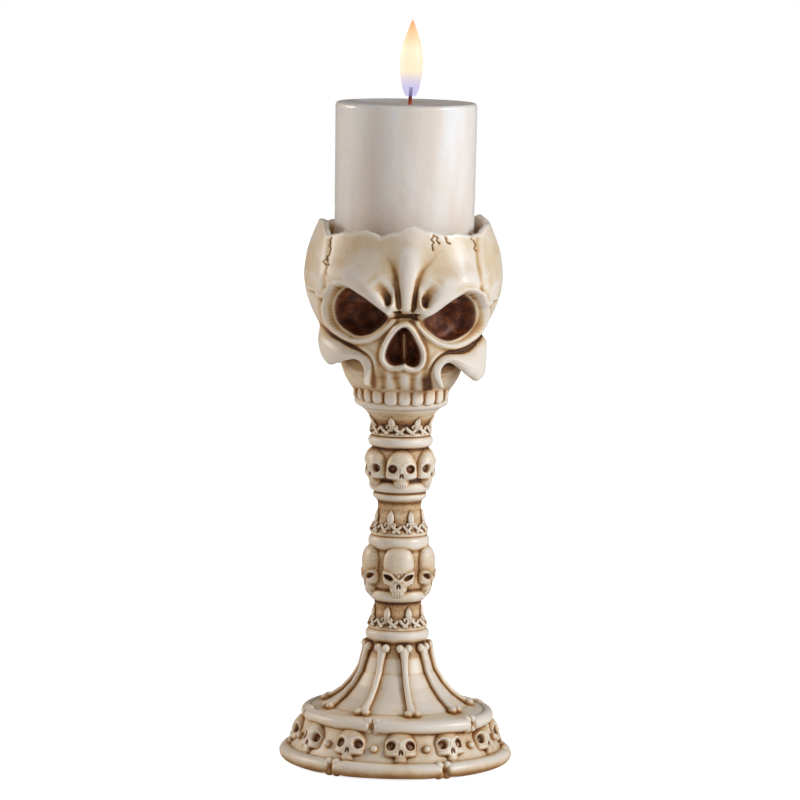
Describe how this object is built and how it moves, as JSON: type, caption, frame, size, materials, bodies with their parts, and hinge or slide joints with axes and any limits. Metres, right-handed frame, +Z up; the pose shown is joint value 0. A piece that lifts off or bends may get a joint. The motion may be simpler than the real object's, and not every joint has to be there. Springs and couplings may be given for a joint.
{
  "type": "candlestick",
  "caption": "Cast resin candlestick: a broken skull holds a lit pillar candle, on a carved stem with small skulls and a foot ringed by bones.",
  "frame": {"origin": "middle of the flat underside, on the stem's axis", "axes": "+Z up the stem, the large skull faces -Y, +X to the viewer's right"},
  "size_m": [0.1272, 0.1254, 0.4014],
  "materials": {
    "resin": "satin, bone coloured with a brown wash in the hollows",
    "wax": "smooth wax, slightly glossy",
    "char": "charred cotton",
    "glow": "flame"
  },
  "bodies": {
    "root": {"candlestick": "resin", "candle": "wax", "wick": "char", "flame": "glow"}
  },
  "joints": []
}
